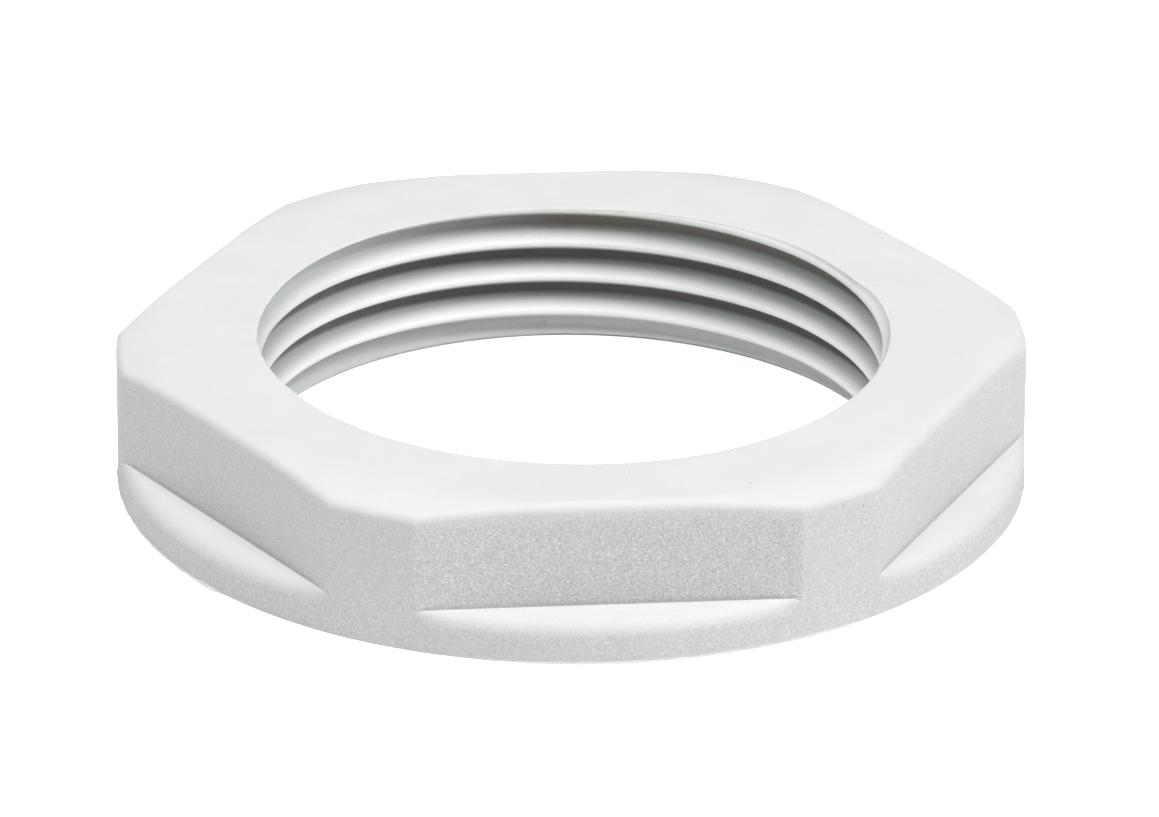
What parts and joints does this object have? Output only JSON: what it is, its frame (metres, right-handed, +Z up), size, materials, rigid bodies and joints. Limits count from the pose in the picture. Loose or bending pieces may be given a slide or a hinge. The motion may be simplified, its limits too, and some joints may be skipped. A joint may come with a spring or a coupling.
{
  "type": "cable gland locknut",
  "caption": "Flanged hexagon locknut with an internal metric thread, screwed onto a cable gland behind an enclosure wall.",
  "frame": {"origin": "middle of the flange's bearing face, on the thread axis", "axes": "+Z up the thread axis from the bearing face to the top face, -Y square to one flat of the hexagon"},
  "size_m": [0.035, 0.035, 0.0056],
  "materials": {
    "grey_polyamide": "light grey moulded polyamide, spark-eroded sides and a smoother top face"
  },
  "bodies": {
    "root": {"locknut": "grey_polyamide"}
  },
  "joints": []
}
